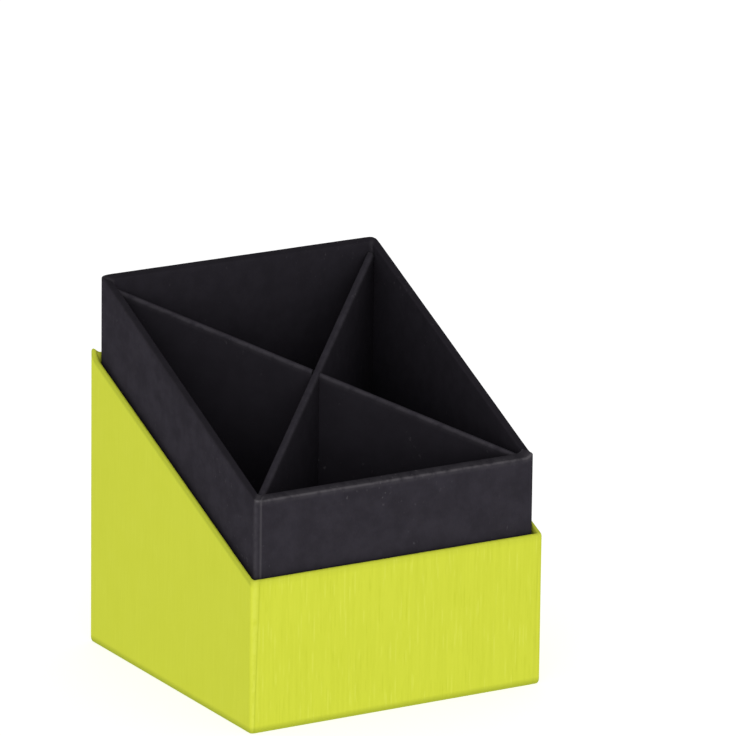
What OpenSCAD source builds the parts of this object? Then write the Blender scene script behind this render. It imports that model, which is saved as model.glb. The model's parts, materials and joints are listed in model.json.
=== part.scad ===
// Desk pen holder of paper-covered board.
// A green case with a sloping rim holds a black tray, and two half-lapped cards part the tray.
// Millimetres, Z up, origin at the middle of the underside, front towards -Y.

/* [Outer case] */
// Width of the case over its paper
case_w = 90; // [75:1:120]
// Depth of the case over its paper
case_d = 90; // [75:1:120]
// Height of the case's rim at the front
case_front_h = 42.5; // [30:0.1:50]
// Height of the case's rim at the back
case_back_h = 82.6; // [60:0.1:92]

/* [Inner tray] */
// Height of the tray's rim at the front, above the table
tray_front_h = 64; // [54:0.1:78]
// Height of the tray's rim at the back, above the table
tray_back_h = 104.8; // [96:0.1:130]

/* [Boards] */
// Thickness of the case's grey board
case_board = 0.8; // [0.6:0.1:2.5]
// Thickness of the tray's grey board
tray_board = 2; // [1:0.1:3]
// Thickness of the dividers' grey board
divider_board = 1.8; // [1:0.1:2.5]

/* [Paper] */
// Thickness of the cover paper
paper = 0.15; // [0.1:0.01:0.3]
// How far the green paper turns down inside the case
case_turn_in = 15; // [6:1:20]
// How far the black paper turns down inside the tray
tray_turn_in = 6; // [4:1:20]
// How far the paper turns under a base
turn_under = 12; // [6:1:20]
// Strip of the side wrap that shows on the front, beside the front sheet
corner_strip = 1.7; // [1:0.1:4]
// Hairline between two papers that meet
seam_gap = 0.1; // [0.05:0.01:0.2]
// Rim of the underside that the base sheet leaves bare
base_margin = 3; // [1:0.5:5]
// Radius of the upright corners, over the paper
corner_r = 0.8; // [0.4:0.1:1.4]

/* [Dividers] */
// How far the divider tops lie below the tray's rim at the front
divider_front_drop = 1.2; // [0.5:0.1:10]
// How far the divider tops lie below the tray's rim at the back
divider_back_drop = 2.2; // [0.5:0.1:10]

/* [Fits] */
// Gap between the tray and the paper turned into the case, on each side
tray_gap = 0.9; // [0.2:0.1:1.5]
// Gap between a divider's corners and the tray's lining
divider_gap = 0.3; // [0.2:0.05:1]
// Gap between a slot and the card in it, on each side
slot_gap = 0.15; // [0.1:0.05:0.4]

/* [Hidden] */

green = "#d3de45";
black = "#322f35";
grey = "#a39c8f";

$fn = 48;

// A cut runs this far past the face that it opens
past = 1;

// A paper-covered wall: board with paper on both faces
case_wall = case_board + 2 * paper;
tray_wall = tray_board + 2 * paper;
tray_inset = case_wall + tray_gap;

// Undersides of the two wraps: the case's lies on the base sheet, the tray's on the case's base board
case_floor = paper;
tray_floor = case_floor + paper + case_board;

// A box is its outer width, its outer depth and its rim height at the front and at the back
case_box = [case_w, case_d, case_front_h, case_back_h];
tray_box = [case_w - 2 * tray_inset, case_d - 2 * tray_inset, tray_front_h, tray_back_h];

// Box whose rim plane holds the tops of the dividers
card_box = [tray_box[0], tray_box[1], tray_front_h - divider_front_drop, tray_back_h - divider_back_drop];

// Rise of a box's rim for each millimetre towards the back
function rim_slope(box) = (box[3] - box[2]) / box[1];

// Height of a box's rim plane at a given depth
function rim_at(box, y) = box[2] + (y + box[1] / 2) * rim_slope(box);

// Upright height of a sheet of paper that lies on a slope
function paper_on(slope) = paper * sqrt(1 + slope * slope);

// Dividers stand on the floor sheet, on the diagonals of the lined tray
divider_foot = tray_floor + 2 * paper + tray_board;
divider_t = divider_board + 2 * paper;
inner_w = tray_box[0] - 2 * tray_wall;
inner_d = tray_box[1] - 2 * tray_wall;
divider_turn = atan2(inner_d, inner_w);
divider_reach_x = (inner_w / 2 - divider_gap - divider_t / 2 * sin(divider_turn)) / cos(divider_turn);
divider_reach_y = (inner_d / 2 - divider_gap - divider_t / 2 * cos(divider_turn)) / sin(divider_turn);
divider_half = min(divider_reach_x, divider_reach_y);

// How far a divider's board lies below the paper on its sloping top
divider_board_drop = paper_on(rim_slope(card_box) * sin(divider_turn));

// The two cards cross at twice the diagonal's angle, which sets how wide a square-cut slot has to be
crossing = 2 * divider_turn;
slot_w = divider_t * (1 + abs(cos(crossing))) / sin(crossing) + 2 * slot_gap;
lap_h = (divider_foot + rim_at(card_box, 0)) / 2;

// Plan of a box drawn in on its four sides; round corners keep one centre, as those of layered paper do
module plan(box, inset) {
    w = box[0] - 2 * inset;
    d = box[1] - 2 * inset;
    radius = corner_r - inset;
    if (radius > 0) {
        square([w - 2 * radius, d], center = true);
        square([w, d - 2 * radius], center = true);
        for (x = [-1, 1], y = [-1, 1])
            translate([x * (w / 2 - radius), y * (d / 2 - radius)])
                circle(radius);
    } else
        square([w, d], center = true);
}

// Space under a box's rim plane lowered by a drop, wider and deeper than the box
module under_rim(box, drop) {
    half = box[1] / 2 + past;
    outline = [
        [-half, -past],
        [half, -past],
        [half, rim_at(box, half) - drop],
        [-half, rim_at(box, -half) - drop],
    ];
    rotate([90, 0, 90])
        linear_extrude(box[0] + 2 * past, center = true)
            polygon(outline);
}

// Solid between a floor and a box's lowered rim plane, drawn in on its four sides
module layer(box, inset, floor_z, drop = 0) {
    intersection() {
        under_rim(box, drop);
        translate([0, 0, floor_z])
            linear_extrude(box[3] + 2 * past)
                plan(box, inset);
    }
}

// Upright slab across a box, for cutting the walls apart
module slab(box, x0, x1, y0, y1) {
    translate([x0, y0, 0])
        cube([x1 - x0, y1 - y0, box[3]]);
}

// The four walls of a box as one ring of board, under the paper
module wall_ring(box, floor_z, board) {
    difference() {
        layer(box, paper, floor_z + paper, paper_on(rim_slope(box)));
        layer(box, paper + board, 0, -past);
    }
}

// Side wall: runs the whole depth of the box, side -1 on the left and 1 on the right
module side_board(box, floor_z, board, side) {
    outer = box[0] / 2;
    inner = outer - paper - board;
    intersection() {
        wall_ring(box, floor_z, board);
        slab(box, min(side * inner, side * outer), max(side * inner, side * outer), -box[1] / 2, box[1] / 2);
    }
}

// Front or back wall: stands between the side walls, end -1 at the front and 1 at the back
module end_board(box, floor_z, board, end) {
    half_w = box[0] / 2 - paper - board;
    outer = box[1] / 2;
    inner = outer - paper - board;
    intersection() {
        wall_ring(box, floor_z, board);
        slab(box, -half_w, half_w, min(end * inner, end * outer), max(end * inner, end * outer));
    }
}

// Bottom of a box, set inside the walls
module base_board(box, floor_z, board) {
    inset = 2 * (paper + board);
    translate([0, 0, floor_z + paper + board / 2])
        cube([box[0] - inset, box[1] - inset, board], center = true);
}

// Band of a drawn-in box that lies within a given depth of the rim plane
module rim_band(box, inset, depth) {
    difference() {
        layer(box, inset, 0);
        layer(box, 0, -past, depth);
    }
}

// All the paper outside a box: round the walls, over the rim, down inside and under the base
module cover(box, floor_z, board, turn_in) {
    wall = board + 2 * paper;
    difference() {
        union() {
            difference() {
                layer(box, 0, floor_z);
                layer(box, paper, floor_z + paper, paper_on(rim_slope(box)));
            }
            rim_band(box, paper + board, turn_in);
        }
        layer(box, wall, floor_z + wall, -past);
        translate([0, 0, floor_z])
            cube([box[0] - 2 * turn_under, box[1] - 2 * turn_under, 2 * wall], center = true);
    }
}

// Space of the front sheet in plan, mitred where it turns over the rim and under the base
module front_zone(box, strip) {
    half = box[0] / 2 - strip;
    front = -box[1] / 2;
    outline = [
        [-half, front - past],
        [half, front - past],
        [half, front],
        [half - turn_under, front + turn_under],
        [turn_under - half, front + turn_under],
        [-half, front],
    ];
    linear_extrude(box[3])
        polygon(outline);
}

// Paper round the left, the back and the right, with a narrow strip on the front at each corner
module side_wrap(box, floor_z, board, turn_in) {
    difference() {
        cover(box, floor_z, board, turn_in);
        front_zone(box, corner_strip);
    }
}

// Paper on the front, a hairline short of the side wrap
module front_sheet(box, floor_z, board, turn_in) {
    intersection() {
        cover(box, floor_z, board, turn_in);
        front_zone(box, corner_strip + seam_gap);
    }
}

// Upright face of a divider, with a sloping top; lean -1 runs back left to front right
module divider_blank(lean, thick, drop = 0) {
    run = lean * sin(divider_turn);
    outline = [
        [-divider_half, divider_foot],
        [divider_half, divider_foot],
        [divider_half, rim_at(card_box, divider_half * run) - drop],
        [-divider_half, rim_at(card_box, -divider_half * run) - drop],
    ];
    rotate([90, 0, lean * divider_turn])
        linear_extrude(thick, center = true)
            polygon(outline);
}

// Half-lap slot in the middle of a divider, from one height to another
module lap_slot(lean, low, high) {
    rotate([0, 0, lean * divider_turn])
        translate([0, 0, (low + high) / 2])
            cube([slot_w, divider_t + 2 * past, high - low], center = true);
}

// Slot of the lower divider, open at the top, and of the upper one, open at the bottom
module lower_slot() {
    lap_slot(-1, lap_h - slot_gap, tray_box[3]);
}

module upper_slot() {
    lap_slot(1, 0, lap_h + slot_gap);
}

module case_base_board() {
    color(grey) base_board(case_box, case_floor, case_board);
}

module case_front_board() {
    color(grey) end_board(case_box, case_floor, case_board, -1);
}

module case_back_board() {
    color(grey) end_board(case_box, case_floor, case_board, 1);
}

module case_left_board() {
    color(grey) side_board(case_box, case_floor, case_board, -1);
}

module case_right_board() {
    color(grey) side_board(case_box, case_floor, case_board, 1);
}

module case_side_wrap() {
    color(green) side_wrap(case_box, case_floor, case_board, case_turn_in);
}

module case_front_sheet() {
    color(green) front_sheet(case_box, case_floor, case_board, case_turn_in);
}

// Flat sheet under the case, pasted to the turned-under paper
module case_base_sheet() {
    color(green)
        translate([0, 0, paper / 2])
            cube([case_w - 2 * base_margin, case_d - 2 * base_margin, paper], center = true);
}

module tray_base_board() {
    color(grey) base_board(tray_box, tray_floor, tray_board);
}

module tray_front_board() {
    color(grey) end_board(tray_box, tray_floor, tray_board, -1);
}

module tray_back_board() {
    color(grey) end_board(tray_box, tray_floor, tray_board, 1);
}

module tray_left_board() {
    color(grey) side_board(tray_box, tray_floor, tray_board, -1);
}

module tray_right_board() {
    color(grey) side_board(tray_box, tray_floor, tray_board, 1);
}

module tray_side_wrap() {
    color(black) side_wrap(tray_box, tray_floor, tray_board, tray_turn_in);
}

module tray_front_sheet() {
    color(black) front_sheet(tray_box, tray_floor, tray_board, tray_turn_in);
}

// Paper round the inside of the walls, from the base board up to the turned-in paper
module tray_lining() {
    color(black)
        difference() {
            layer(tray_box, paper + tray_board, tray_floor + paper + tray_board, tray_turn_in + seam_gap);
            layer(tray_box, tray_wall, 0, -past);
        }
}

// Paper on the base board, inside the lining
module tray_floor_sheet() {
    color(black)
        translate([0, 0, divider_foot - paper / 2])
            cube([inner_w, inner_d, paper], center = true);
}

module divider_lower_board() {
    color(grey)
        difference() {
            divider_blank(-1, divider_board, divider_board_drop);
            lower_slot();
        }
}

module divider_upper_board() {
    color(grey)
        difference() {
            divider_blank(1, divider_board, divider_board_drop);
            upper_slot();
        }
}

module divider_lower_cover() {
    color(black)
        difference() {
            divider_blank(-1, divider_t);
            divider_blank(-1, divider_board, divider_board_drop);
            lower_slot();
        }
}

module divider_upper_cover() {
    color(black)
        difference() {
            divider_blank(1, divider_t);
            divider_blank(1, divider_board, divider_board_drop);
            upper_slot();
        }
}

case_base_board();
case_front_board();
case_back_board();
case_left_board();
case_right_board();
case_side_wrap();
case_front_sheet();
case_base_sheet();
tray_base_board();
tray_front_board();
tray_back_board();
tray_left_board();
tray_right_board();
tray_side_wrap();
tray_front_sheet();
tray_lining();
tray_floor_sheet();
divider_lower_board();
divider_lower_cover();
divider_upper_board();
divider_upper_cover();
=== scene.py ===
"""Looks of a desk pen holder of paper-covered board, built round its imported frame.

Every sheet of paper is a flat grid that one node tree folds round its boards: columns follow the
sheet's way round in plan, and rows follow its folds from one cut edge to the other.
"""

import json
import math
from functools import partial
from typing import NamedTuple

import bmesh
import bpy
import numpy as np
from bpy.props import FloatProperty, FloatVectorProperty, IntProperty, PointerProperty
from mathutils import Color, Matrix, Vector

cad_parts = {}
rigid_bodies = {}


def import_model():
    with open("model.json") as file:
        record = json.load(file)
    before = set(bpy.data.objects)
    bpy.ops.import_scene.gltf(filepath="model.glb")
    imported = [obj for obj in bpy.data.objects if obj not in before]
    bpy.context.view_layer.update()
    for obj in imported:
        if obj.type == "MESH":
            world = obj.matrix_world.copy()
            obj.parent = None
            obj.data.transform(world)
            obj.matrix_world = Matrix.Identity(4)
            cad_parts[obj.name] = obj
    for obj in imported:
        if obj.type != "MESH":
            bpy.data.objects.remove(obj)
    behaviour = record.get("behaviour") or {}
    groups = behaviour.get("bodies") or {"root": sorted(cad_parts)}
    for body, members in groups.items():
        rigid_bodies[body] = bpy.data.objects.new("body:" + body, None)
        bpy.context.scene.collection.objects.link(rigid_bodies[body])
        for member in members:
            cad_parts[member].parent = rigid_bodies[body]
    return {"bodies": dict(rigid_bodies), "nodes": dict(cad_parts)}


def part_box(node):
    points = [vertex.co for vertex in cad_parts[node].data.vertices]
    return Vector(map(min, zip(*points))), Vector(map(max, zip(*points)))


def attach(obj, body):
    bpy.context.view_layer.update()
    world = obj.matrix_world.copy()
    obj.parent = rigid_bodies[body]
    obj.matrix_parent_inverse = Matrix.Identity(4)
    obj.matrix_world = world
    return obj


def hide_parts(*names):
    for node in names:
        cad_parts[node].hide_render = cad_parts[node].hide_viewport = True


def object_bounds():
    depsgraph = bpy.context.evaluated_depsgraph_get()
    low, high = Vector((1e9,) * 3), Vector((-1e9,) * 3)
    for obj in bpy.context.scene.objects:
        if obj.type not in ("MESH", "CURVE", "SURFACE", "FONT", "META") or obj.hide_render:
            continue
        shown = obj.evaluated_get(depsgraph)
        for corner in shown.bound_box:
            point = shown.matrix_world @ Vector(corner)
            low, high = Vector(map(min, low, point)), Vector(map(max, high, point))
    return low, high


bl_info = {
    "name": "Pen holder",
    "version": (1, 0, 0),
    "blender": (4, 5, 0),
    "location": "View3D > Sidebar > Pen holder",
    "description": "Papers, boards and stage of a pen holder with a sloping rim",
    "category": "Object",
}

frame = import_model()
cad_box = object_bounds()

MM = 0.001

# Edges that turn by more than this stay sharp, and faces that turn by less than this are one
SHARP_ANGLE = math.radians(40)
FLAT_ANGLE = math.radians(1)
# Distances below which two points are merged, and two places on a card are the same
MERGE = 0.001 * MM
SAME = 0.01 * MM
# Upward part of the normal past which a face is a top or a foot, and not a wall
STEEP = 0.5
# Share of a board's widest face below which a face is one of its narrow edges
NARROW = 0.1
# Straight pieces across the crushed edge of a board
EASE_STEPS = 2
# Distance from the middle within which a divider has its slot
SLOT_ZONE = 3 * MM

# Straight pieces that make up a quarter turn of a fold, and the wear and painted highlight at both ends
# of the turn
FOLD_STEPS = 5
FOLD_END_WEAR = 0.35
# Distance over which the wear and painted highlight along a fold, or the wear of a cut edge, fades out
FADE = 1.1 * MM
CUT_FADE = 0.45 * MM
# Power by which a rim's waves and its raised corners die out down the wall
DIE_OUT = 3
# Noise between one thread and the next, so far apart that the two have nothing in common
THREAD_APART = 7.3
# Noise at which the hollow between two ribs starts, and at which it is full
HOLLOW = (0.35, 0.65)
# How far up from a base the paper carries painted shade, and the share of that which is fully shaded
FOOT_SHADE_REACH = 2.0 * MM
FOOT_SHADE_FULL = 0.25
# Hairline between a divider's cover and the sheet that it stands on
FOOT_CLEAR = 0.02 * MM
# Share of the painted shade of a divider's faces that is left where its top fold starts
CARD_CREASE = 0.7

# Steps between the columns of the ribbed case, the tray, a divider and a flat sheet
CASE_STEP = 0.25 * MM
TRAY_STEP = 1.5 * MM
CARD_STEP = 2 * MM
FLAT_STEP = 3 * MM
# Fine columns on each side of a corner or an edge, their step, and the share of it that is too close
FINE_COUNT = 6
FINE_STEP = 0.25 * MM
CROWDED = 0.3
# Rows up the walls of the case and the tray, and up each half of a divider
CASE_ROWS = 12
TRAY_ROWS = 24
CARD_ROWS = 10
# Name of each divider, the lean of its line in plan and the wear and painted highlight along its top
DIVIDERS = (("lower", -1, 0.22), ("upper", 1, 0.1))

# Half the floor's width in metres, and its squares from side to side
FLOOR_HALF = 12
FLOOR_SQUARES = 8
# Sides of the soft light in metres, and its place from the middle of the holder
LIGHT_SIDES = (1.6, 1.2)
LIGHT_PLACE = Vector((-1.1, -1.9, 0.4))
# Nearest and farthest that the camera sees in metres
SIGHT = (0.05, 60)


class Station(NamedTuple):
    """One column of a sheet: its place in plan and what the sheet has seen there."""

    x: float
    y: float
    # Way in for each metre of inset, height of the rim, and distance along the sheet
    inward: tuple
    top: float
    run: float
    # Wear and painted highlight up the whole column, weight of its rows' own wear and painted
    # highlight, weight of their painted shade towards the rim
    corner_wear: float = 0.0
    fold_wear: float = 0.0
    dark: float = 1.0
    # Wear of a cut edge, how far the rim stands up, how far the outer face lies back
    cut: float = 0.0
    lift: float = 0.0
    sink: float = 0.0
    # Weight of the ribs, and lean from foot to rim
    rib: float = 0.0
    skew: float = 0.0


class Row(NamedTuple):
    """One row of a sheet: its place in the fold and what the sheet has seen there."""

    # How far in it lies, its share of the way from floor to rim, and its height beside that
    inset: float
    blend: float
    height: float
    # Wear and painted highlight of a fold, wear of a cut edge, 1 on the outer face, its painted shade
    wear: float = 0.0
    cut: float = 0.0
    face: float = 0.0
    dark: float = 0.0
    # Share of its column's lift that it takes
    lift: float = 0.0


class Tones(NamedTuple):
    """Painted shade of a paper over a rim: outside, its crease, both edges of the ledge, and inside."""

    outside: float
    crease: float
    outer: float
    inner: float
    inside: float


class Handling(NamedTuple):
    """How a box was made and handled, with the highlight and shade painted on it; the defaults are
    those of an untouched one.

    Four numbers are for the front right, back right, back left and front left corner.
    """

    # Wear and painted highlight of the rim along the front, more of it at the corners' tips, and along
    # the other sides
    front_fold: float = 0.0
    tips: tuple = (0.0, 0.0, 0.0, 0.0)
    side_fold: float = 0.0
    # Share of the rim's painted shade along the front, where the others are 1
    front_dark: float = 1.0
    # Wear and painted highlight of the upright corners, and how far that of the front ones is shifted
    # to the front
    corners: tuple = (0.0, 0.0, 0.0, 0.0)
    corner_shift: float = 0.0
    # Wear of the left and the right seam of the front sheet
    seams: tuple = (0.0, 0.0)
    # How far the paper stands up at each corner, and how far along the rim that reaches
    lifts: tuple = (0.0, 0.0, 0.0, 0.0)
    lift_reach: float = MM
    # Weight of the ribs off the front, and how far the front sheet leans
    side_rib: float = 0.0
    skew: float = 0.0


def property_maker(kind, **settings):
    """A function that makes properties of one kind from a name, a description and a default."""

    def make(name, description, default):
        return kind(name=name, description=description, default=default, **settings)

    return make


colour_property = property_maker(FloatVectorProperty, size=3, min=0, max=1, subtype="COLOR")
length_property = property_maker(FloatProperty, unit="LENGTH", precision=5)
fold_property = property_maker(FloatVectorProperty, size=2, unit="LENGTH", precision=5)
place_property = property_maker(FloatVectorProperty, subtype="TRANSLATION")
share_property = property_maker(FloatProperty, min=0, max=1, subtype="FACTOR")
angle_property = property_maker(FloatProperty, subtype="ANGLE")
number_property = property_maker(FloatProperty)
count_property = property_maker(IntProperty)


class PenHolderPaper(bpy.types.PropertyGroup):
    """Papers and boards of the pen holder"""

    lime: colour_property("Lime", "Face of the case's paper", (0.60, 0.65, 0.0515))
    # Deep lime: the mottle and fibre of the paper, and painted shade in the ribs' hollows and sunk
    # threads
    lime_deep: colour_property("Deep lime", "Hollows of the case's paper", (0.53, 0.581, 0.037))
    # Worn lime: wear, and painted highlight and light on folds and raised threads
    lime_worn: colour_property("Worn lime", "Folds of the case's paper", (0.68, 0.729, 0.103))
    # Dark lime: painted shade in creases, on ledges and at the foot, and the darker line along cut
    # edges
    lime_dark: colour_property("Dark lime", "Creases, cuts and foot of the paper", (0.36, 0.41, 0.028))
    black: colour_property("Black", "Face of the tray's paper", (0.0335, 0.0303, 0.0385))
    # Deep black: the mottle and grain of the paper, and painted shade on ledges, lining and divider
    # faces
    black_deep: colour_property("Deep black", "Hollows and lining of the tray", (0.012, 0.0108, 0.0135))
    # Worn black: scuffs, cut edges, and wear with a painted highlight on the folds
    black_worn: colour_property("Worn black", "Folds of the tray's paper", (0.15, 0.14, 0.152))
    board: colour_property("Grey board", "Face of the board", (0.36, 0.33, 0.28))
    board_fleck: colour_property("Board fleck", "Dark fibres in the board", (0.15, 0.135, 0.12))
    board_light: colour_property("Board fibre", "Light fibres in the board", (0.52, 0.49, 0.43))

    case_turn_in: length_property("Case turn-in", "How far the lime paper turns down inside", 15 * MM)
    tray_turn_in: length_property("Tray turn-in", "How far the black paper turns down inside", 6 * MM)
    turn_under: length_property("Turn-under", "How far the paper turns under a base", 12 * MM)
    corner_round: length_property("Corner radius", "Radius of the upright corners", 0.8 * MM)
    case_rim: fold_property("Case rim", "Rim fold, across and down", (0.5 * MM, 0.8 * MM))
    case_base: fold_property("Case base", "Base fold, across and down", (0.5 * MM, 1.35 * MM))
    tray_rim: fold_property("Tray rim", "Rim fold, across and down", (0.45 * MM, 0.45 * MM))
    tray_base: fold_property("Tray base", "Base fold, across and down", (0.5 * MM, 0.5 * MM))
    card_top: fold_property("Card top", "Top fold of a divider, across and down", (0.8 * MM, 1.0 * MM))
    base_bulge: length_property("Base bulge", "How far the case's folds swell below its base", 0.1 * MM)
    bulge_reach: length_property("Bulge reach", "How far in from the wall the swelling goes", 2.6 * MM)
    slot_clear: length_property("Slot clearance", "Gap between a slot and the card in it", 0.04 * MM)
    board_ease: length_property("Board ease", "Radius of the crushed edges of the boards", 0.3 * MM)
    board_sink: length_property("Board sink", "How far boards end behind their paper", 0.8 * MM)
    corner_strip: length_property("Corner strip", "Side paper that shows beside the front", 1.7 * MM)
    seam: length_property("Seam", "Hairline between two papers that meet", 0.03 * MM)
    step_down: length_property("Step", "How far the side paper lies below the front sheet", 0.07 * MM)
    rib_pitch: length_property("Rib pitch", "Width of one rib of the lime paper", 0.75 * MM)
    rib_height: length_property("Rib height", "Height of the lime paper's ribs", 0.015 * MM)
    streak: length_property("Streak", "Length over which a rib comes and goes", 25 * MM)
    thread: length_property("Thread", "Width of one thread of the lime paper", 0.4 * MM)
    thread_run: length_property("Thread run", "Length over which a thread comes and goes", 11 * MM)
    rim_wave: length_property("Rim wave", "How far a rim dips along its run", 0.12 * MM)
    wave_length: length_property("Wave length", "Length over which a rim dips and rises", 14 * MM)
    # Painted shade of the lining and the tray's floor sheet
    lining_dark: share_property("Lining dark", "How much darker the lining is than the outside", 0.6)
    # Painted shade of the divider faces, which leaves their tops lighter
    card_dark: share_property("Card dark", "How much darker a divider's faces are than its top", 0.85)
    seed: count_property("Seed", "Seed of the ribs and waves", 7)


class PenHolderStage(bpy.types.PropertyGroup):
    """Camera, light and floor"""

    azimuth: angle_property("Azimuth", "Camera's turn round the holder", math.radians(-30.361))
    elevation: angle_property("Elevation", "Camera's angle above the floor", math.radians(16.435))
    roll: angle_property("Roll", "Camera's tilt about its line of sight", math.radians(0.681))
    distance: length_property("Distance", "From the camera to the point it looks at", 2.2)
    aim: place_property("Aim", "Point it looks at", (16.927 * MM, 1.35 * MM, 80.919 * MM))
    lens: number_property("Lens", "Focal length in millimetres", 397.04)
    sky: number_property("Sky", "Strength of the even white light", 0.617)
    key: number_property("Key", "Power of the soft front light in watts", 19.5)
    glow: number_property("Glow", "Light that the floor itself gives off", 0.68)
    floor: colour_property("Floor", "Plain pale floor", (0.58, 0.58, 0.58))


def arithmetic(operation):
    """The plain and the reflected form of an operator that adds a Math node."""

    def plain(self, other):
        return self.net.math(operation, self, other)

    def reflected(self, other):
        return self.net.math(operation, other, self)

    return plain, reflected


class Wire:
    """A node's output; arithmetic on it adds Math nodes."""

    def __init__(self, net, socket):
        self.net = net
        self.socket = socket

    __add__, __radd__ = arithmetic("ADD")
    __sub__, __rsub__ = arithmetic("SUBTRACT")
    __mul__, __rmul__ = arithmetic("MULTIPLY")
    __truediv__, __rtruediv__ = arithmetic("DIVIDE")
    __pow__, __rpow__ = arithmetic("POWER")


def pick(sockets, key):
    """The socket in use that has this place, name or identifier."""
    if isinstance(key, int):
        return sockets[key]
    for socket in sockets:
        if key in (socket.name, socket.identifier) and socket.enabled and not socket.is_unavailable:
            return socket
    raise KeyError(f"no socket {key!r} among {[s.name for s in sockets]}")


class Net:
    """Adds nodes to one node tree."""

    def __init__(self, tree):
        self.tree = tree

    def node(self, kind, settings=None, sockets=None, out=0):
        """A new node's output; its settings come first, then the values or links of its sockets."""
        made = self.tree.nodes.new(kind)
        for name, value in (settings or {}).items():
            setattr(made, name, value)
        for key, value in (sockets or {}).items():
            self.feed(pick(made.inputs, key), value)
        return Wire(self, pick(made.outputs, out)) if len(made.outputs) else made

    def feed(self, socket, value):
        """Links a wire to a socket, or sets the socket's own value; a plain colour is made opaque."""
        if isinstance(value, Wire):
            self.tree.links.new(value.socket, socket)
        else:
            socket.default_value = (*value, 1.0) if isinstance(value, Color) else value

    def math(self, operation, *values):
        return self.node("ShaderNodeMath", {"operation": operation}, dict(enumerate(values)))

    def vector(self, operation, *values):
        return self.node("ShaderNodeVectorMath", {"operation": operation}, dict(enumerate(values)))

    def noise(self, place, size, detail=2.0, rough=0.5):
        """Noise from 0 to 1 with features of about the given size in metres."""
        sockets = {"Vector": place, "Scale": 1 / size, "Detail": detail, "Roughness": rough}
        return self.node("ShaderNodeTexNoise", {}, sockets, out="Fac")

    def between(self, value, low, high):
        """0 below low, 1 above high, smooth in between."""
        sockets = {"Value": value, "From Min": low, "From Max": high}
        return self.node("ShaderNodeMapRange", {"interpolation_type": "SMOOTHSTEP"}, sockets)

    def layered(self, colour, *layers):
        """A colour under layers of others, each given as its share and its colour."""
        for share, over in layers:
            sockets = {"Factor": share, "A": colour, "B": over}
            colour = self.node("ShaderNodeMix", {"data_type": "RGBA"}, sockets, out="Result")
        return colour

    def attribute(self, name):
        return self.node("ShaderNodeAttribute", {"attribute_name": name}, out="Fac")

    def stretched(self, place, x=1, y=1, z=1):
        """Coordinates drawn out along each axis by its factor."""
        return self.vector("DIVIDE", place, (x, y, z))


def joined(net, x, y, z=0.0):
    """A vector of three numbers."""
    return net.node("ShaderNodeCombineXYZ", {}, {"X": x, "Y": y, "Z": z})


def parts_of(net, vector):
    """The three numbers of a vector."""
    return [net.node("ShaderNodeSeparateXYZ", {}, {0: vector}, axis) for axis in "XYZ"]


# Materials


def new_surface(name):
    """An empty material: its net, its shader and the object's own coordinates."""
    material = bpy.data.materials.new(name)
    material.use_nodes = True
    net = Net(material.node_tree)
    shader = material.node_tree.nodes["Principled BSDF"]
    place = net.node("ShaderNodeTexCoord", out="Object")
    return material, net, shader, place


def finish_surface(net, shader, colour, rough, relief, depth, gloss):
    """Feeds a colour, a roughness and a relief of a given depth to a material's shader."""
    net.feed(shader.inputs["Base Color"], colour)
    net.feed(shader.inputs["Roughness"], rough)
    shader.inputs["Specular IOR Level"].default_value = gloss
    sockets = {"Height": relief, "Distance": depth, "Strength": 1.0}
    net.feed(shader.inputs["Normal"], net.node("ShaderNodeBump", {}, sockets))


def lime_finish(paper):
    """Lime cover paper: ribbed, a little mottled, pale where it is rubbed and where a highlight or
    light is painted on its folds and threads, with painted shade in its hollows, creases, ledges and
    foot, darker along its cut edges.
    """
    material, net, shader, place = new_surface("lime_finish")
    mottle = net.noise(place, 9 * MM, detail=3)
    fibre = net.noise(net.stretched(place, z=8), 0.5 * MM)
    tooth = net.noise(place, 0.22 * MM)
    fold = net.attribute("wear") * net.between(net.noise(place, 1.6 * MM, detail=3), 0.25, 0.6)
    # Threads stand side by side along the sheet, and each comes and goes over its own height; a raised
    # thread gets a painted highlight and a sunk one a painted shade
    thread = net.math("FLOOR", net.attribute("run") / paper.thread)
    height = parts_of(net, place)[2] / paper.thread_run
    strand = net.noise(joined(net, THREAD_APART * thread, height), 1.0, detail=1)
    thread_highlight = net.between(strand, 0.59, 0.72) * net.attribute("show")
    thread_shade = net.between(strand, 0.41, 0.28) * net.attribute("show")
    colour = net.layered(
        paper.lime,
        # Mottle and fibre, with painted shade in the ribs' hollows and sunk threads
        (0.3 * mottle + 0.3 * net.attribute("rib") + 0.2 * fibre + 0.35 * thread_shade, paper.lime_deep),
        # Painted highlight on raised threads
        (0.3 * thread_highlight, paper.lime_worn),
        # Wear and painted highlight on folds, and painted light on the inner fold of the case's rim
        (0.55 * fold, paper.lime_worn),
        # Darker along cut edges, and painted shade in creases, on ledges and at the foot
        (0.25 * net.attribute("cut") + 0.95 * net.attribute("dark"), paper.lime_dark),
    )
    rough = 0.64 + 0.16 * mottle
    relief = 0.55 * tooth + 0.6 * fibre + 1.2 * mottle
    finish_surface(net, shader, colour, rough, relief, depth=0.012 * MM, gloss=0.05)
    return material


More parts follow.
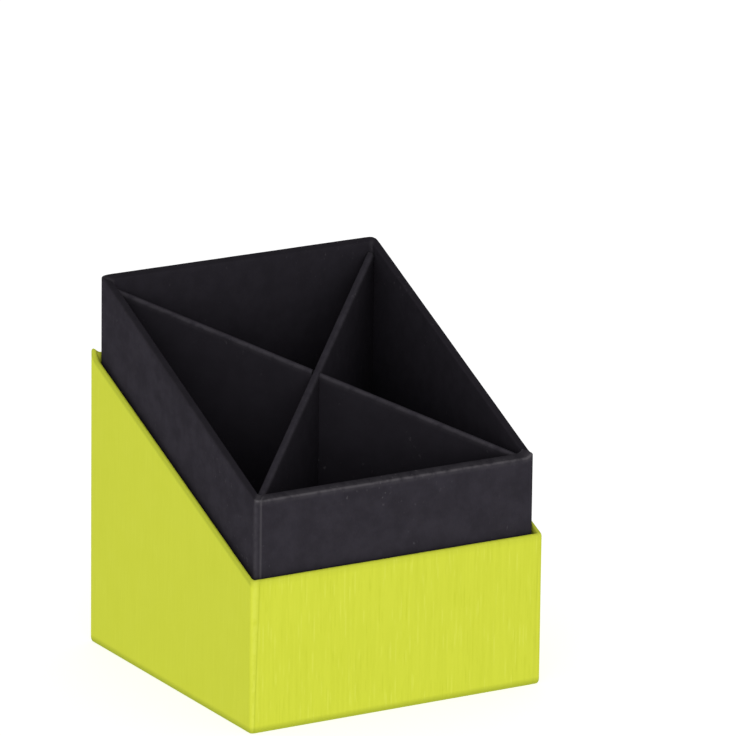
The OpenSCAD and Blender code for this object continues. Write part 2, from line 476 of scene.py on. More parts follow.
def black_finish(paper):
    """Black cover paper: fine grain, faint scuffs, worn grey with a painted highlight on its folds,
    grey along its cut edges, and painted shade on its ledges, lining and divider faces.
    """
    material, net, shader, place = new_surface("black_finish")
    mottle = net.between(net.noise(place, 5 * MM, detail=4, rough=0.6), 0.3, 0.7)
    grain = net.noise(net.stretched(place, z=3), 0.3 * MM, detail=3)
    scuff_area = net.between(net.noise(place, 16 * MM), 0.52, 0.66)
    scuff = net.between(net.noise(net.stretched(place, z=1.4), 1.1 * MM), 0.62, 0.85)
    rubbed = net.between(net.noise(place, 2.2 * MM, detail=3), 0.3, 0.62)
    fold = net.attribute("wear") * (0.3 + 0.7 * rubbed)
    colour = net.layered(
        paper.black,
        (0.3 * mottle + 0.25 * grain, paper.black_deep),
        # Painted shade on ledges, the lining, the floor sheet and the divider faces
        (0.8 * net.attribute("dark"), paper.black_deep),
        (0.4 * scuff * scuff_area, paper.black_worn),
        # Wear and painted highlight on the folds
        (0.7 * fold, paper.black_worn),
        (0.3 * net.attribute("cut"), paper.black_worn),
    )
    rough = 0.66 + 0.2 * mottle
    relief = 0.7 * grain + 1.1 * mottle
    finish_surface(net, shader, colour, rough, relief, depth=0.015 * MM, gloss=0.004)
    return material


def board_finish(paper):
    """Pressed grey board: matted fibres with dark and light flecks."""
    material, net, shader, place = new_surface("board_finish")
    mat = net.noise(place, 3 * MM, detail=5, rough=0.65)
    fibre = net.noise(net.stretched(place, x=4), 0.35 * MM, detail=3)
    cross = net.noise(net.stretched(place, y=4, z=4), 0.35 * MM, detail=3)
    dark = net.between(net.noise(net.stretched(place, x=2), 0.55 * MM, detail=1), 0.68, 0.78)
    light = net.between(net.noise(net.stretched(place, y=2, z=2), 0.6 * MM, detail=1), 0.69, 0.8)
    colour = net.layered(
        paper.board,
        (0.6 * mat, paper.board_fleck),
        (0.35 * fibre * cross, paper.board_light),
        (0.7 * dark, paper.board_fleck),
        (0.7 * light, paper.board_light),
    )
    rough = 0.82 + 0.12 * mat
    relief = 0.8 * fibre + 0.8 * cross + mat
    finish_surface(net, shader, colour, rough, relief, depth=0.04 * MM, gloss=0.2)
    return material


def finish_of(maker, paper):
    """The material that a function makes, made once."""
    return bpy.data.materials.get(maker.__name__) or maker(paper)


# Forms read from the frame

# Thickness of every paper
PAPER = (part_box("case_base_sheet")[1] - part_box("case_base_sheet")[0]).z


def reach(node, direction):
    """Lowest and highest place of a node along a direction."""
    along = [vertex.co.dot(direction) for vertex in frame["nodes"][node].data.vertices]
    return min(along), max(along)


class BoxForm:
    """Outer form of a paper-covered box: its plan, its floor, its wall and its sloping rim."""

    def __init__(self, name, colour, corner):
        self.name = name
        self.colour = colour
        low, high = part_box(f"{name}_side_wrap")
        board_low, board_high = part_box(f"{name}_left_board")
        front_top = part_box(f"{name}_front_sheet")[1].z
        self.half_w = high.x
        self.half_d = high.y
        self.floor = low.z
        self.corner = corner
        self.wall = board_high.x - board_low.x + 2 * PAPER
        self.slope = (high.z - front_top) / (2 * self.half_d - self.wall)
        self.rim_middle = high.z - self.slope * self.half_d
        self.quarter = corner * math.pi / 2

    def rim(self, y):
        """Height of the rim plane at a depth."""
        return self.rim_middle + self.slope * y

    def sides(self):
        """Front, right, back and left: turn, half the straight run, distance from the middle."""
        for turn in range(4):
            half, out = (self.half_w, self.half_d) if turn % 2 == 0 else (self.half_d, self.half_w)
            yield turn, half - self.corner, out

    def round_trip(self):
        return sum(2 * straight + self.quarter for turn, straight, out in self.sides())

    def corner_runs(self):
        """Distances round the plan, from the middle of the front, to the middle of each corner."""
        runs = []
        run = -(self.half_w - self.corner)
        for turn, straight, out in self.sides():
            run += 2 * straight + self.quarter
            runs.append(run - self.quarter / 2)
        return runs

    def plan_point(self, run):
        """Point of the rounded plan at a distance from the middle of the front, counter-clockwise."""
        run = (run + self.half_w - self.corner) % self.round_trip()
        for turn, straight, out in self.sides():
            ahead = Vector((math.cos(turn * math.pi / 2), math.sin(turn * math.pi / 2)))
            outward = Vector((ahead.y, -ahead.x))
            if run <= 2 * straight:
                return outward * out + ahead * (run - straight)
            run -= 2 * straight
            if run <= self.quarter:
                bend = run / self.corner
                centre = outward * (out - self.corner) + ahead * straight
                return centre + self.corner * (outward * math.cos(bend) + ahead * math.sin(bend))
            run -= self.quarter
        raise ValueError("the run lies past the end of the plan")


class CardForm:
    """Form of a divider card: its line in plan, its thickness, its sloping top and its slot."""

    def __init__(self, name, lean, slot_clear):
        node = f"divider_{name}_cover"
        low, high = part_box(node)
        self.ahead = Vector((1, lean, 0)).normalized()
        self.across = Vector((-self.ahead.y, self.ahead.x, 0))
        self.half = reach(node, self.ahead)[1]
        self.thick = 2 * reach(node, self.across)[1]
        self.foot = low.z
        places = [(v.co.dot(self.ahead), v.co.z) for v in frame["nodes"][node].data.vertices]
        left = max(z for run, z in places if run + self.half < SAME)
        right = max(z for run, z in places if self.half - run < SAME)
        self.middle = (left + right) / 2
        self.rise = (right - left) / (2 * self.half)
        self.slot_half = self.thick / 2 + slot_clear
        slot_edge = min(abs(run) for run, z in places)
        beside = [z for run, z in places if abs(run) - slot_edge < SAME]
        opens_up = min(beside) > self.foot + self.thick
        self.slot_low = min(beside) if opens_up else self.foot - self.thick
        self.slot_high = high.z if opens_up else max(beside)
        self.lap = self.slot_low if opens_up else self.slot_high

    def top(self, run):
        """Height of the card's top at a distance from its middle."""
        return self.middle + self.rise * run


# Guides that the paper tree samples


def fade(distance, length):
    """1 at a mark, falling to 0 at a given distance from it."""
    return max(0.0, 1 - abs(distance) / length)


def mix(first, second, share):
    return first + (second - first) * share


def spaced(start, end, step, marks):
    """Runs from start to end at an even step, closer together beside the marks."""
    count = max(2, round((end - start) / step) + 1)
    runs = list(np.linspace(start, end, count))
    for mark in marks:
        beside = [mark + k * FINE_STEP for k in range(-FINE_COUNT, FINE_COUNT + 1)]
        runs += [run for run in beside if start < run < end]
    runs.sort()
    too_close = CROWDED * FINE_STEP
    kept = [runs[0]]
    for run in runs[1:-1]:
        if run - kept[-1] > too_close and end - run > too_close:
            kept.append(run)
    return kept + [end]


def corner_marks(form, shift):
    """Runs to the worn lines of the corners, of which the front two are shifted to the front."""
    front_right, back_right, back_left, front_left = form.corner_runs()
    return front_right - shift, back_right, back_left, front_left + shift


def run_gaps(form, run, marks):
    """Distances round the plan from a run to each mark, the short way."""
    trip = form.round_trip()
    return [min(abs(run - mark + turn * trip) for turn in (-1, 0, 1)) for mark in marks]


def box_station(form, run, ends, handling, sink, give):
    """One column of a sheet round a box; the lean at the sheet's ends dies out over a given length."""
    point = form.plan_point(run)
    gaps = run_gaps(form, run, form.corner_runs())
    lifts = [height * fade(gap, handling.lift_reach) ** 2 for gap, height in zip(gaps, handling.lifts)]
    on_front = fade(point.y + form.half_d, form.corner)
    marks = run_gaps(form, run, corner_marks(form, handling.corner_shift))
    worn = [wear * fade(gap, FADE) for gap, wear in zip(marks, handling.corners)]
    tips = [wear * fade(gap, handling.lift_reach) for gap, wear in zip(gaps, handling.tips)]
    left_seam, right_seam = handling.seams
    to_end = min(abs(run - end) for end in ends)
    return Station(
        x=point.x,
        y=point.y,
        inward=(-point.x / form.half_w, -point.y / form.half_d, 0),
        top=form.rim(point.y),
        run=run,
        corner_wear=max(worn),
        fold_wear=mix(handling.side_fold, handling.front_fold + max(tips), on_front),
        dark=mix(1.0, handling.front_dark, on_front),
        cut=fade(to_end, CUT_FADE) * (left_seam if point.x < 0 else right_seam),
        lift=sum(lifts),
        sink=sink * on_front,
        rib=mix(handling.side_rib, 1.0, on_front),
        skew=handling.skew * fade(to_end, give),
    )


def box_stations(form, start, end, step, handling, sink=0.0, give=math.inf):
    """Columns of a sheet that goes round a box."""
    runs = spaced(start, end, step, [start, end, *form.corner_runs()])
    return [box_station(form, run, (start, end), handling, sink, give) for run in runs]


def plain_station(point, inward, top, run, edges, fold_wear=0.0):
    """One column of a sheet that goes straight on, with its cut edges at the given runs."""
    cut = max(fade(run - edge, CUT_FADE) for edge in edges)
    return Station(point.x, point.y, tuple(inward), top, run, fold_wear=fold_wear, cut=cut)


def card_stations(card, fold_wear):
    """Columns of a divider's cover."""
    edges = (-card.half, card.half)
    runs = spaced(-card.half, card.half, CARD_STEP, (*edges, -card.slot_half, card.slot_half))
    face = card.thick / 2 * card.across
    return [
        plain_station(card.ahead * run + face, -card.across, card.top(run), run, edges, fold_wear)
        for run in reversed(runs)
    ]


def quarter_turn():
    """Angles of a fold's rows, and how much wear and painted highlight each carries."""
    for step in range(FOLD_STEPS + 1):
        angle = step / FOLD_STEPS * math.pi / 2
        at_end = step in (0, FOLD_STEPS)
        yield angle, FOLD_END_WEAR if at_end else math.sin(2 * angle) ** 0.5


def foot_dark(height):
    """Painted shade of the paper at a height above its base."""
    return min(1.0, (1 - height / FOOT_SHADE_REACH) / (1 - FOOT_SHADE_FULL))


def wall_rows(low, high, count):
    """Rows up a wall, between a height above the floor and a height below the rim."""
    for step in range(1, count + 1):
        share = step / (count + 1)
        yield Row(0, share, low * (1 - share) - high * share, face=1, lift=share ** DIE_OUT)


def rim_rows(wall, fold, inner_wear_and_light, rim_shade):
    """Rows over a rim, from its outside to its inside."""
    across, down = fold
    yield Row(0, 1, -down - FADE, face=1, dark=rim_shade.outside, lift=1)
    for angle, worn in quarter_turn():
        up, over = math.sin(angle), 1 - math.cos(angle)
        dark = mix(rim_shade.crease, rim_shade.outer, up)
        yield Row(across * over, 1, down * (up - 1), worn, face=1, dark=dark, lift=1)
    for angle, worn in quarter_turn():
        in_by, under = 1 - math.sin(angle), 1 - math.cos(angle)
        dark = mix(rim_shade.inner, rim_shade.inside, under)
        yield Row(wall - across * in_by, 1, -down * under, inner_wear_and_light * worn, dark=dark, lift=1)
    yield Row(wall, 1, -down - FADE, dark=rim_shade.inside, lift=1)


def wrap_fold(
    form, turn_under, base, rim, turn_in, walls, inner_wear_and_light, rim_shade, bulge=0.0, bulge_reach=0.0
):
    """Rows of a sheet from its edge under the base, up the wall and over the rim to its edge inside."""
    across, down = base
    flat = max(bulge_reach, across + 2 * FADE)
    rows = [Row(turn_under, 0, 0, cut=1), Row(turn_under - CUT_FADE, 0, 0), Row(flat, 0, 0)]
    rows.append(Row(across + FADE, 0, -bulge))
    # The base fold carries painted shade, darkest at its foot
    for angle, unused in quarter_turn():
        inset = across * (1 - math.sin(angle))
        height = down - (down + bulge) * math.cos(angle)
        rows.append(Row(inset, 0, height, face=1, dark=foot_dark(height)))
    rows.append(Row(0, 0, FOOT_SHADE_REACH, face=1))
    rows += wall_rows(FOOT_SHADE_REACH, rim[1] + FADE, walls)
    rows += rim_rows(form.wall, rim, inner_wear_and_light, rim_shade)
    # A raised corner dies out down the turn-in
    rows.append(Row(form.wall, 1, -(turn_in + rim[1]) / 2, dark=rim_shade.inside, lift=0.5))
    rows.append(Row(form.wall, 1, -turn_in, dark=rim_shade.inside))
    return rows


def lining_fold(form, foot, drop, walls, dark):
    """Rows of the lining, from the turned-in paper down to the floor sheet; it faces inwards and
    carries a given painted shade.
    """
    low = foot - form.floor
    shares = [step / walls for step in range(walls + 1)]
    return [Row(form.wall, 1 - share, mix(-drop, low, share), dark=dark) for share in shares]


def cover_fold(card, fold, walls, dark):
    """Rows of a divider's cover: up one face, over the top and down the other, with painted shade on
    its faces.
    """
    lap = card.lap - card.foot
    up = [Row(0, 0, FOOT_CLEAR, cut=1, dark=dark), Row(0, 0, CUT_FADE, dark=dark)]
    up += [Row(0, 0, lap * step / walls, dark=dark) for step in range(1, walls + 1)]
    for step in range(1, walls):
        share = step / walls
        up.append(Row(0, share, mix(lap, -fold[1] - FADE, share), dark=dark))
    down = [row._replace(inset=card.thick) for row in reversed(up)]
    rim_shade = Tones(outside=dark, crease=CARD_CREASE * dark, outer=0.0, inner=0.0, inside=dark)
    return [*up, *rim_rows(card.thick, fold, 1.0, rim_shade), *down]


# The paper tree

TREE_INPUTS = {
    "NodeSocketObject": ("Plan", "Fold"),
    "NodeSocketInt": ("Columns", "Rows", "Seed"),
    "NodeSocketFloat": (
        "Floor", "Rim Slope", "Rim Wave", "Wave Length", "Rib Pitch", "Rib Height", "Streak",
        "Slot Half", "Slot Low", "Slot High",
    ),
    "NodeSocketMaterial": ("Material",),
}


def named(net, name, kind="FLOAT"):
    """An attribute that the geometry carries."""
    settings = {"data_type": kind}
    return net.node("GeometryNodeInputNamedAttribute", settings, {"Name": name}, "Attribute")


def sampled(net, points, index, name, kind="FLOAT"):
    """A guide's attribute at a column or a row."""
    sockets = {"Geometry": points, "Value": named(net, name, kind), "Index": index}
    return net.node("GeometryNodeSampleIndex", {"data_type": kind, "domain": "POINT"}, sockets)


def stored(net, geometry, name, value):
    """The geometry with a number kept on its points."""
    settings = {"data_type": "FLOAT", "domain": "POINT"}
    sockets = {"Geometry": geometry, "Name": name, "Value": value}
    return net.node("GeometryNodeStoreNamedAttribute", settings, sockets)


def folded_paper_tree():
    """Node tree that folds a flat grid along its guides, ribs it, slots it and gives it its finish."""
    known = bpy.data.node_groups.get("folded_paper")
    if known:
        return known
    tree = bpy.data.node_groups.new("folded_paper", "GeometryNodeTree")
    tree.interface.new_socket("Geometry", in_out="OUTPUT", socket_type="NodeSocketGeometry")
    net = Net(tree)
    entry = tree.nodes.new("NodeGroupInput")
    given = {}
    for kind, names in TREE_INPUTS.items():
        for name in names:
            tree.interface.new_socket(name, in_out="INPUT", socket_type=kind)
            given[name] = Wire(net, entry.outputs[name])
    plan = net.node("GeometryNodeObjectInfo", {}, {"Object": given["Plan"]}, "Geometry")
    fold = net.node("GeometryNodeObjectInfo", {}, {"Object": given["Fold"]}, "Geometry")

    index = net.node("GeometryNodeInputIndex")
    # Half a point keeps the division off the border between two columns
    column = net.math("FLOOR", (index + 0.5) / given["Rows"])
    row = index - column * given["Rows"]
    of_column = partial(sampled, net, plan, column)
    of_row = partial(sampled, net, fold, row)
    start_x, start_y, unused = parts_of(net, of_column("position", "FLOAT_VECTOR"))
    in_x, in_y, unused = parts_of(net, of_column("inward", "FLOAT_VECTOR"))
    depth, share, height = parts_of(net, of_row("position", "FLOAT_VECTOR"))
    run = of_column("run")

    # The outer face sinks by the column's own step, and the paper inside keeps its line
    inset = depth + of_column("sink") * of_row("face")
    swell = net.noise(joined(net, run / given["Wave Length"], given["Seed"]), 1.0)
    rim = of_column("top") + given["Rim Slope"] * in_y * inset
    rim = rim + of_column("lift") * of_row("lift")
    rim = rim - share ** DIE_OUT * given["Rim Wave"] * swell
    rise = given["Floor"] * (1 - share) + rim * share + height
    lean = of_column("skew") * of_row("lean")
    run = run + lean
    place = joined(net, start_x + in_x * inset + lean, start_y + in_y * inset, rise)

    sockets = {"Vertices X": given["Columns"], "Vertices Y": given["Rows"]}
    sheet = net.node("GeometryNodeMeshGrid", {}, sockets, "Mesh")
    sheet = net.node("GeometryNodeSetPosition", {}, {"Geometry": sheet, "Position": place})
    # Wear and painted highlight of corners and folds
    fold_wear = of_column("fold_wear") * of_row("wear")
    wear = net.math("MAXIMUM", of_column("corner_wear"), fold_wear)
    side_cut = of_column("cut") * of_row("face")
    cut = net.math("MAXIMUM", side_cut, of_row("cut"))

    # Ribs: hollows along the sheet that come and go; the finish paints shade into the same hollows
    streaks = joined(net, run / given["Rib Pitch"], rise / given["Streak"], given["Seed"])
    show = of_column("rib")
    hollow = net.between(net.noise(streaks, 1.0, detail=1), *HOLLOW) * show
    # Painted shade: each row's own, weighted towards the rim by its column
    painted_rim_shade = 1 - share * (1 - of_column("dark"))
    dark = of_row("dark") * painted_rim_shade
    marks = {"run": run, "wear": wear, "cut": cut, "dark": dark, "rib": hollow, "show": show}
    for name, value in marks.items():
        sheet = stored(net, sheet, name, value)
    normal = net.node("GeometryNodeInputNormal", out="Normal")
    sockets = {0: normal, "Scale": -1 * given["Rib Height"] * named(net, "rib")}
    push = net.node("ShaderNodeVectorMath", {"operation": "SCALE"}, sockets)
    sheet = net.node("GeometryNodeSetPosition", {}, {"Geometry": sheet, "Offset": push})

    # Slot of a divider's cover
    level = parts_of(net, net.node("GeometryNodeInputPosition"))[2]
    inside = net.math("LESS_THAN", net.math("ABSOLUTE", named(net, "run")), given["Slot Half"])
    inside = inside * net.math("GREATER_THAN", level, given["Slot Low"])
    inside = inside * net.math("LESS_THAN", level, given["Slot High"])
    sockets = {"Geometry": sheet, "Selection": inside}
    sheet = net.node("GeometryNodeDeleteGeometry", {"domain": "FACE"}, sockets)

    sheet = net.node("GeometryNodeSetShadeSmooth", {}, {"Geometry": sheet})
    sheet = net.node("GeometryNodeRealizeInstances", {}, {"Geometry": sheet})
    sheet = net.node("GeometryNodeSetMaterial", {}, {"Geometry": sheet, "Material": given["Material"]})
    net.node("NodeGroupOutput", {}, {"Geometry": sheet})
    return tree


# Making pieces


def link(obj):
    bpy.context.scene.collection.objects.link(obj)
    return obj


def discard(obj):
    mesh = obj.data
    bpy.data.objects.remove(obj)
    bpy.data.meshes.remove(mesh)


def guide(name, points, attributes):
    """Loose points that carry the numbers of a sheet's columns or rows."""
    mesh = bpy.data.meshes.new(name)
    mesh.from_pydata(points, [], [])
    for key, values in attributes.items():
        values = np.array(values, float)
        kind, field = ("FLOAT", "value") if values.ndim == 1 else ("FLOAT_VECTOR", "vector")
        mesh.attributes.new(key, kind, "POINT").data.foreach_set(field, values.ravel())
    return link(bpy.data.objects.new(name, mesh))


def fold_paper(name, stations, rows, material, sizes):
    """A sheet of paper folded along its guides, with its thickness, as a plain mesh object."""
    keys = [key for key in Station._fields if key not in ("x", "y")]
    columns = {key: [getattr(s, key) for s in stations] for key in keys}
    plan = guide(name + "_plan", [(s.x, s.y, 0) for s in stations], columns)
    lines = {key: [getattr(r, key) for r in rows] for key in ("wear", "cut", "face", "dark", "lift")}
    # A sheet leans about the middle of its wall, and less the further in its paper goes
    deepest = max(r.inset for r in rows)
    lines["lean"] = [(r.blend - 0.5) * fade(r.inset, deepest) for r in rows]
    fold = guide(name + "_fold", [(r.inset, r.blend, r.height) for r in rows], lines)
    raw = link(bpy.data.objects.new(name + "_raw", bpy.data.meshes.new(name + "_raw")))
    folder = raw.modifiers.new("Folded paper", "NODES")
    folder.node_group = folded_paper_tree()
    values = {"Plan": plan, "Fold": fold, "Columns": len(stations), "Rows": len(rows)}
    values.update(sizes, Material=material)
    for item in folder.node_group.interface.items_tree:
        if item.in_out == "INPUT" and item.name in values:
            folder[item.identifier] = values[item.name]
    thickness = raw.modifiers.new("Thickness", "SOLIDIFY")
    thickness.thickness = PAPER
    thickness.offset = -1
    thickness.use_even_offset = True
    depsgraph = bpy.context.evaluated_depsgraph_get()
    mesh = bpy.data.meshes.new_from_object(
        raw.evaluated_get(depsgraph), preserve_all_data_layers=True, depsgraph=depsgraph
    )
    for scratch in (raw, plan, fold):
        discard(scratch)
    return finished(name, mesh, material)


def finished(name, mesh, material):
    """A piece of one material from a plain mesh, with its folds smooth and its cut edges sharp."""
    mesh.name = name
    mesh.materials.clear()
    mesh.materials.append(material)
    mesh.polygons.foreach_set("material_index", np.zeros(len(mesh.polygons), int))
    mesh.polygons.foreach_set("use_smooth", np.ones(len(mesh.polygons), bool))
    mesh.set_sharp_from_angle(angle=SHARP_ANGLE)
    return link(bpy.data.objects.new(name, mesh))


def place_piece(piece, node, body):
    """Lets a piece stand for its node and move with its body."""
    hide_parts(node)
    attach(piece, body)


def paper_sizes(paper, floor, slope=0.0, rib_height=0.0):
    """Inputs of the paper tree for a sheet that goes from a floor to a rim of a given slope."""
    return {
        "Floor": floor,
        "Rim Slope": slope,
        "Rim Wave": paper.rim_wave,
        "Wave Length": paper.wave_length,
        "Rib Pitch": paper.rib_pitch,
        "Rib Height": rib_height,
        "Streak": paper.streak,
        "Slot Half": 0.0,
        "Seed": paper.seed,
    }


def box_sheet(form, sheet, stations, rows, material, sizes):
    """One sheet of a box, in place of the box's node of that name."""
    piece = fold_paper(f"{form.colour}_{sheet}", stations, rows, material, sizes)
    place_piece(piece, f"{form.name}_{sheet}", form.name)


def wrap_box(paper, form, material, rows, step, handling, rib_height=0.0):
    """Side wrap and front sheet of a box."""
    sizes = paper_sizes(paper, form.floor, form.slope, rib_height)
    seam = form.half_w - paper.corner_strip
    trip = form.round_trip()
    flat = paper.corner_strip - form.corner
    stations = box_stations(form, seam, trip - seam, step, handling, paper.step_down, flat)
    box_sheet(form, "side_wrap", stations, rows, material, sizes)
    edge = seam - paper.seam
    stations = box_stations(form, -edge, edge, step, handling)
    box_sheet(form, "front_sheet", stations, rows, material, sizes)


def flat_sheet(paper, form, sheet, material, faces_down, dark):
    """A flat sheet of a box with worn edges and a given painted shade, as folded paper without a fold.
    """
    low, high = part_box(f"{form.name}_{sheet}")
    edges = (low.x, high.x)
    runs = spaced(low.x, high.x, FLAT_STEP, edges)
    if faces_down:
        runs.reverse()
    stations = [plain_station(Vector((run, low.y)), (0, 1, 0), high.z, run, edges) for run in runs]
    depth = high.y - low.y
    rows = []
    for inset in spaced(0, depth, FLAT_STEP, (0, depth)):
        cut = max(fade(inset, CUT_FADE), fade(inset - depth, CUT_FADE))
        rows.append(Row(inset, 0, 0, cut=cut, dark=dark))
    skin = low.z if faces_down else high.z
    box_sheet(form, sheet, stations, rows, material, paper_sizes(paper, skin))


def faces_slot(face):
    """Whether a board's face is one side of the slot at the middle of a divider."""
    middle = face.calc_center_median().to_2d()
    return middle.length < SLOT_ZONE and face.normal.to_2d().dot(middle) < 0


def eased_board(node, name, ease, sink, material):
    """Copy of a node's board with crushed edges, set back from its paper at its top, foot and slot."""
    shape = bmesh.new()
    shape.from_mesh(frame["nodes"][node].data)
    bmesh.ops.remove_doubles(shape, verts=shape.verts, dist=MERGE)
    bmesh.ops.dissolve_limit(shape, angle_limit=FLAT_ANGLE, verts=shape.verts, edges=shape.edges)
    shape.normal_update()
    widest = max(face.calc_area() for face in shape.faces)
    narrow = [face for face in shape.faces if face.calc_area() < NARROW * widest]
    for face in narrow:
        if abs(face.normal.z) > STEEP:
            back = Vector((0, 0, math.copysign(sink, -face.normal.z)))
            bmesh.ops.translate(shape, vec=back, verts=face.verts)
        elif faces_slot(face):
            bmesh.ops.translate(shape, vec=-sink * face.normal, verts=face.verts)
    sharp = [edge for edge in shape.edges if edge.calc_face_angle() > SHARP_ANGLE]
    bmesh.ops.bevel(
        shape,
        geom=sharp,
        offset=ease,
        segments=EASE_STEPS,
        profile=0.5,
        affect="EDGES",
        clamp_overlap=True,
    )
    mesh = bpy.data.meshes.new(name)
    shape.to_mesh(mesh)
    shape.free()
    return finished(name, mesh, material)


class PENHOLDER_OT_boards(bpy.types.Operator):
    """Make the grey boards, with their edges eased under the paper"""

    bl_idname = "pen_holder.boards"
    bl_label = "Grey boards"

    def execute(self, context):
        paper = context.scene.pen_holder_paper
        material = finish_of(board_finish, paper)
        for node in frame["nodes"]:
            if node.endswith("_board"):
                # A board is named after the body that it moves with
                body = next(name for name in frame["bodies"] if node.startswith(name))
                piece = eased_board(node, f"eased_{node}", paper.board_ease, paper.board_sink, material)
                place_piece(piece, node, body)
        return {"FINISHED"}


class PENHOLDER_OT_case_papers(bpy.types.Operator):
    """Fold the lime papers round the case"""

    bl_idname = "pen_holder.case_papers"
    bl_label = "Case papers"

    def execute(self, context):
        paper = context.scene.pen_holder_paper
        material = finish_of(lime_finish, paper)
        form = BoxForm("case", "green", paper.corner_round)
        rows = wrap_fold(
            form,
            paper.turn_under,
            paper.case_base,
            paper.case_rim,
            paper.case_turn_in,
            walls=CASE_ROWS,
            # Painted light on the inner fold of the rim, beside the narrow gap to the tray, on top of
            # its wear
            inner_wear_and_light=3.0,
            # Painted shade under the rim's crease and over its ledge
            rim_shade=Tones(outside=0.0, crease=0.75, outer=0.4, inner=0.2, inside=0.0),
            bulge=paper.base_bulge,
            bulge_reach=paper.bulge_reach,
        )
        # The folded paper stands up at the back corners and lies flat at the front ones
        handling = Handling(
            # Pale rim folds and tips: wear and painted highlight
            front_fold=0.15,
            tips=(0.3, 0.0, 0.0, 0.3),
            side_fold=0.15,
            # Painted shade on the rim, weaker along the front
            front_dark=0.2,
            # Pale upright corners: wear and painted highlight, none at the front right, which turns
            # away from the light
            corners=(0.0, 0.9, 0.9, 0.9),
            corner_shift=form.quarter / 2,
            seams=(1.0, 0.5),
            lifts=(0.0, 1.0 * MM, 1.5 * MM, 0.0),
            lift_reach=3 * MM,
            side_rib=0.35,
            skew=1.3 * MM,
        )
        wrap_box(paper, form, material, rows, CASE_STEP, handling, paper.rib_height)
        flat_sheet(paper, form, "base_sheet", material, faces_down=True, dark=0.0)
        return {"FINISHED"}


class PENHOLDER_OT_tray_papers(bpy.types.Operator):
    """Fold the black papers round the tray and line it"""

    bl_idname = "pen_holder.tray_papers"
    bl_label = "Tray papers"

    def execute(self, context):
        paper = context.scene.pen_holder_paper
        material = finish_of(black_finish, paper)
        form = BoxForm("tray", "black", paper.corner_round)
        rows = wrap_fold(
            form,
            paper.turn_under,
            paper.tray_base,
            paper.tray_rim,
            paper.tray_turn_in,
            walls=TRAY_ROWS,
            inner_wear_and_light=0.3,
            # Painted shade on the rim's ledge, and the lining's painted shade inside
            rim_shade=Tones(outside=0.0, crease=0.24, outer=0.8, inner=0.8, inside=paper.lining_dark),
        )
        # The paper stands up at the front right corner and is rubbed down at the back ones
        handling = Handling(
            # Pale rim folds: wear and painted highlight, most along the front and at its left tip
            front_fold=0.65,
            tips=(0.1, 0.0, 0.0, 1.6),
            side_fold=0.06,
            # Pale upright corners: wear and painted highlight, none at the front right
            corners=(0.0, 0.18, 0.18, 0.18),
            seams=(1.0, 0.0),
            lifts=(1.0 * MM, -0.35 * MM, -0.35 * MM, 0.0),
            lift_reach=2.5 * MM,
        )
        wrap_box(paper, form, material, rows, TRAY_STEP, handling)
        # The lining's own seam is at the back right corner
        seam_run = form.corner_runs()[1]
        start, end = seam_run + paper.seam, seam_run + form.round_trip() - paper.seam
        stations = box_stations(form, start, end, TRAY_STEP, Handling())
        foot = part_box("tray_lining")[0].z
        # The lining carries painted shade
        rows = lining_fold(form, foot, paper.tray_turn_in, walls=TRAY_ROWS, dark=paper.lining_dark)
        sizes = paper_sizes(paper, form.floor, form.slope)
        box_sheet(form, "lining", stations, rows, material, sizes)
        # The floor sheet carries the lining's painted shade
        flat_sheet(paper, form, "floor_sheet", material, faces_down=False, dark=paper.lining_dark)
        return {"FINISHED"}


class PENHOLDER_OT_divider_covers(bpy.types.Operator):
    """Fold the black covers over the two dividers"""

    bl_idname = "pen_holder.divider_covers"
    bl_label = "Divider covers"

    def execute(self, context):
        paper = context.scene.pen_holder_paper
        material = finish_of(black_finish, paper)
        for name, lean, fold_wear in DIVIDERS:
            card = CardForm(name, lean, paper.slot_clear)
            sizes = paper_sizes(paper, card.foot)
            sizes["Slot Half"] = card.slot_half
            sizes["Slot Low"] = card.slot_low
            sizes["Slot High"] = card.slot_high
            stations = card_stations(card, fold_wear)
            # The divider's faces carry painted shade, darker than their top
            rows = cover_fold(card, paper.card_top, walls=CARD_ROWS, dark=paper.card_dark)
            cover = fold_paper(f"{name}_card_cover", stations, rows, material, sizes)
            place_piece(cover, f"divider_{name}_cover", f"divider_{name}")
        return {"FINISHED"}


class PENHOLDER_OT_stage(bpy.types.Operator):
    """Set the floor, the light and the camera"""

    bl_idname = "pen_holder.stage"
    bl_label = "Stage"

    def execute(self, context):
        stage = context.scene.pen_holder_stage
        make_floor(stage)
        make_light(context.scene, stage)
        make_camera(context.scene, stage)
        return {"FINISHED"}


def make_floor(stage):
    """A wide pale floor under the holder."""
    material, net, shader, place = new_surface("pale_floor")
    grain = net.noise(place, 40 * MM)
    rough = 0.7 + 0.1 * grain
    finish_surface(net, shader, stage.floor, rough, grain, depth=0.01 * MM, gloss=0.1)
    shader.inputs["Emission Color"].default_value = (1, 1, 1, 1)
    shader.inputs["Emission Strength"].default_value = stage.glow
    shape = bmesh.new()
    bmesh.ops.create_grid(
        shape, x_segments=FLOOR_SQUARES, y_segments=FLOOR_SQUARES, size=FLOOR_HALF
    )
    mesh = bpy.data.meshes.new("pale_floor")
    shape.to_mesh(mesh)
    shape.free()
    mesh.materials.append(material)
    floor = link(bpy.data.objects.new("pale_floor", mesh))
    floor.location.z = cad_box[0].z


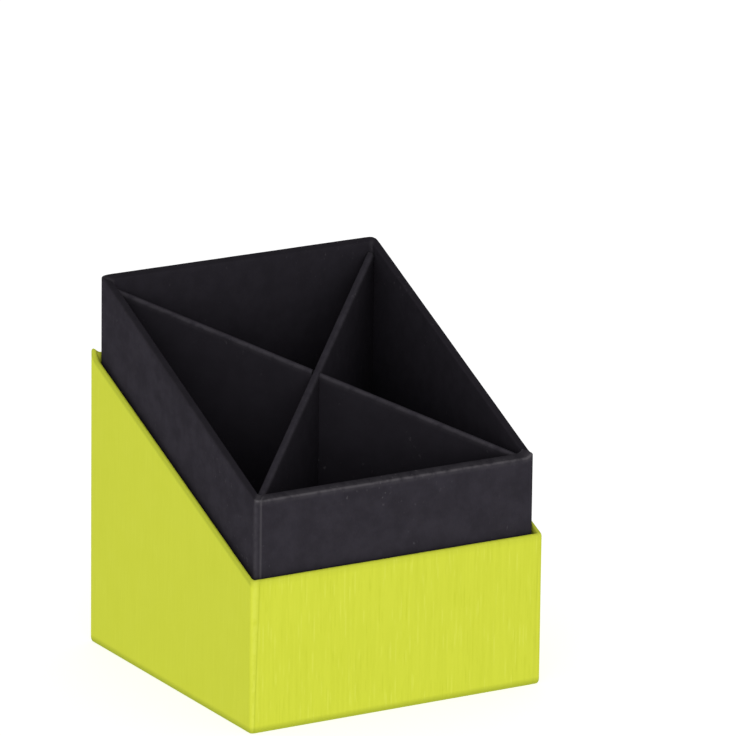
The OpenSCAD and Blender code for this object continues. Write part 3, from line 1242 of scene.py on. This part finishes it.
def make_light(scene, stage):
    """Even white light all round and one large soft light from the front."""
    scene.view_settings.view_transform = "Standard"
    world = bpy.data.worlds.new("white_studio")
    world.use_nodes = True
    sky = world.node_tree.nodes["Background"]
    sky.inputs["Color"].default_value = (1, 1, 1, 1)
    sky.inputs["Strength"].default_value = stage.sky
    scene.world = world
    lamp = bpy.data.lights.new("soft_front", "AREA")
    lamp.shape = "RECTANGLE"
    lamp.size, lamp.size_y = LIGHT_SIDES
    lamp.energy = stage.key
    light = link(bpy.data.objects.new("soft_front", lamp))
    centre = (cad_box[0] + cad_box[1]) / 2
    light.location = centre + LIGHT_PLACE
    light.rotation_euler = (centre - light.location).to_track_quat("-Z", "Y").to_euler()
    light.visible_camera = False


def make_camera(scene, stage):
    """Long-lens camera at its own azimuth, elevation and roll round the point it looks at."""
    back = Vector((
        math.sin(stage.azimuth) * math.cos(stage.elevation),
        -math.cos(stage.azimuth) * math.cos(stage.elevation),
        math.sin(stage.elevation),
    ))
    data = bpy.data.cameras.new("camera")
    data.lens = stage.lens
    data.clip_start, data.clip_end = SIGHT
    camera = link(bpy.data.objects.new("camera", data))
    camera.rotation_mode = "QUATERNION"
    turn = (-back).to_track_quat("-Z", "Y").to_matrix() @ Matrix.Rotation(stage.roll, 3, "Z")
    camera.rotation_quaternion = turn.to_quaternion()
    camera.location = Vector(stage.aim) + back * stage.distance
    scene.camera = camera


class VIEW3D_PT_pen_holder(bpy.types.Panel):
    """Sizes, colours and making of the pen holder"""

    bl_label = "Pen holder"
    bl_space_type = "VIEW_3D"
    bl_region_type = "UI"
    bl_category = "Pen holder"

    def draw(self, context):
        for operator in OPERATORS:
            self.layout.operator(operator.bl_idname)
        for group in (context.scene.pen_holder_paper, context.scene.pen_holder_stage):
            for name in group.bl_rna.properties.keys():
                if name not in ("rna_type", "name"):
                    self.layout.prop(group, name)


OPERATORS = (
    PENHOLDER_OT_boards,
    PENHOLDER_OT_case_papers,
    PENHOLDER_OT_tray_papers,
    PENHOLDER_OT_divider_covers,
    PENHOLDER_OT_stage,
)
CLASSES = (PenHolderPaper, PenHolderStage, *OPERATORS, VIEW3D_PT_pen_holder)


def register():
    for kind in CLASSES:
        bpy.utils.register_class(kind)
    bpy.types.Scene.pen_holder_paper = PointerProperty(type=PenHolderPaper)
    bpy.types.Scene.pen_holder_stage = PointerProperty(type=PenHolderStage)


def unregister():
    del bpy.types.Scene.pen_holder_stage
    del bpy.types.Scene.pen_holder_paper
    for kind in reversed(CLASSES):
        bpy.utils.unregister_class(kind)


def main():
    register()
    bpy.ops.pen_holder.boards()
    bpy.ops.pen_holder.case_papers()
    bpy.ops.pen_holder.tray_papers()
    bpy.ops.pen_holder.divider_covers()
    bpy.ops.pen_holder.stage()


if __name__ == "__main__":
    main()
